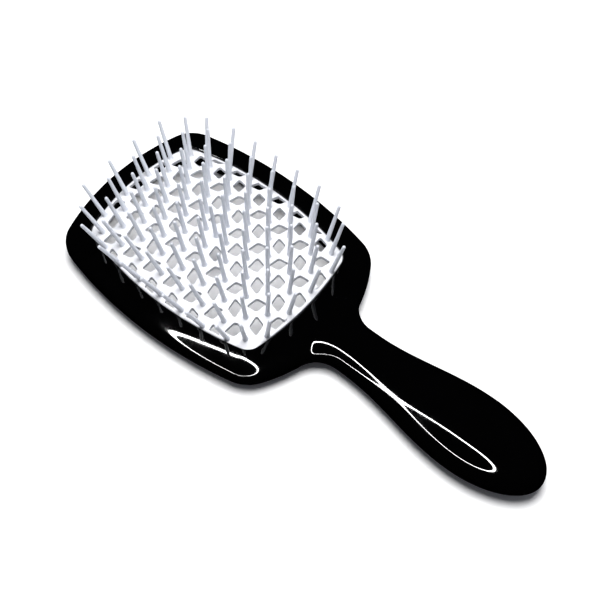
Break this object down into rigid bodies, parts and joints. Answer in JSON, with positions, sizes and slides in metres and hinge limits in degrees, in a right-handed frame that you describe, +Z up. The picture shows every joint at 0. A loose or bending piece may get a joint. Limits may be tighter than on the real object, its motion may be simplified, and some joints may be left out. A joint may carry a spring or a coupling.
{
  "type": "hair brush",
  "caption": "Vented paddle hair brush: a hollow two-shell rim and handle clamps a flexible domed pad with fanned pins over an open back",
  "frame": {"origin": "under the middle of the brush's length, on the surface that it lies on with its pins up", "axes": "+Y along the brush from the handle to the head's tip, +Z up the way the pins stand, +X across the head"},
  "size_m": [0.0858, 0.2022, 0.0337],
  "materials": {
    "gloss_shell": "polished moulded black",
    "flexible_pad": "satin moulded white"
  },
  "bodies": {
    "frame": {"front_shell": "gloss_shell", "back_shell": "gloss_shell", "bristle_pad": "flexible_pad"},
    "crown_pins": {"pins_crown": "flexible_pad"},
    "upper_pins": {"pins_upper": "flexible_pad"},
    "middle_pins": {"pins_middle": "flexible_pad"},
    "outer_pins": {"pins_outer": "flexible_pad"},
    "lower_pins": {"pins_lower": "flexible_pad"},
    "edge_pins": {"pins_edge": "flexible_pad"}
  },
  "joints": [
    {"name": "crown_press", "type": "slide", "parent": "frame", "child": "crown_pins", "axis": [0, 0, -1], "range_m": [0, 0.002], "stiffness_N_per_m": 2500, "deforming": ["bristle_pad"]},
    {"name": "upper_press", "type": "slide", "parent": "frame", "child": "upper_pins", "axis": [0, 0, -1], "range_m": [0, 0.00173]},
    {"name": "middle_press", "type": "slide", "parent": "frame", "child": "middle_pins", "axis": [0, 0, -1], "range_m": [0, 0.00143]},
    {"name": "outer_press", "type": "slide", "parent": "frame", "child": "outer_pins", "axis": [0, 0, -1], "range_m": [0, 0.00112]},
    {"name": "lower_press", "type": "slide", "parent": "frame", "child": "lower_pins", "axis": [0, 0, -1], "range_m": [0, 0.000816]},
    {"name": "edge_press", "type": "slide", "parent": "frame", "child": "edge_pins", "axis": [0, 0, -1], "range_m": [0, 0.00051]}
  ],
  "couplings": [
    {"joint": "upper_press", "follows": "crown_press", "ratio": 0.85},
    {"joint": "middle_press", "follows": "crown_press", "ratio": 0.7},
    {"joint": "outer_press", "follows": "crown_press", "ratio": 0.55},
    {"joint": "lower_press", "follows": "crown_press", "ratio": 0.4},
    {"joint": "edge_press", "follows": "crown_press", "ratio": 0.25}
  ]
}
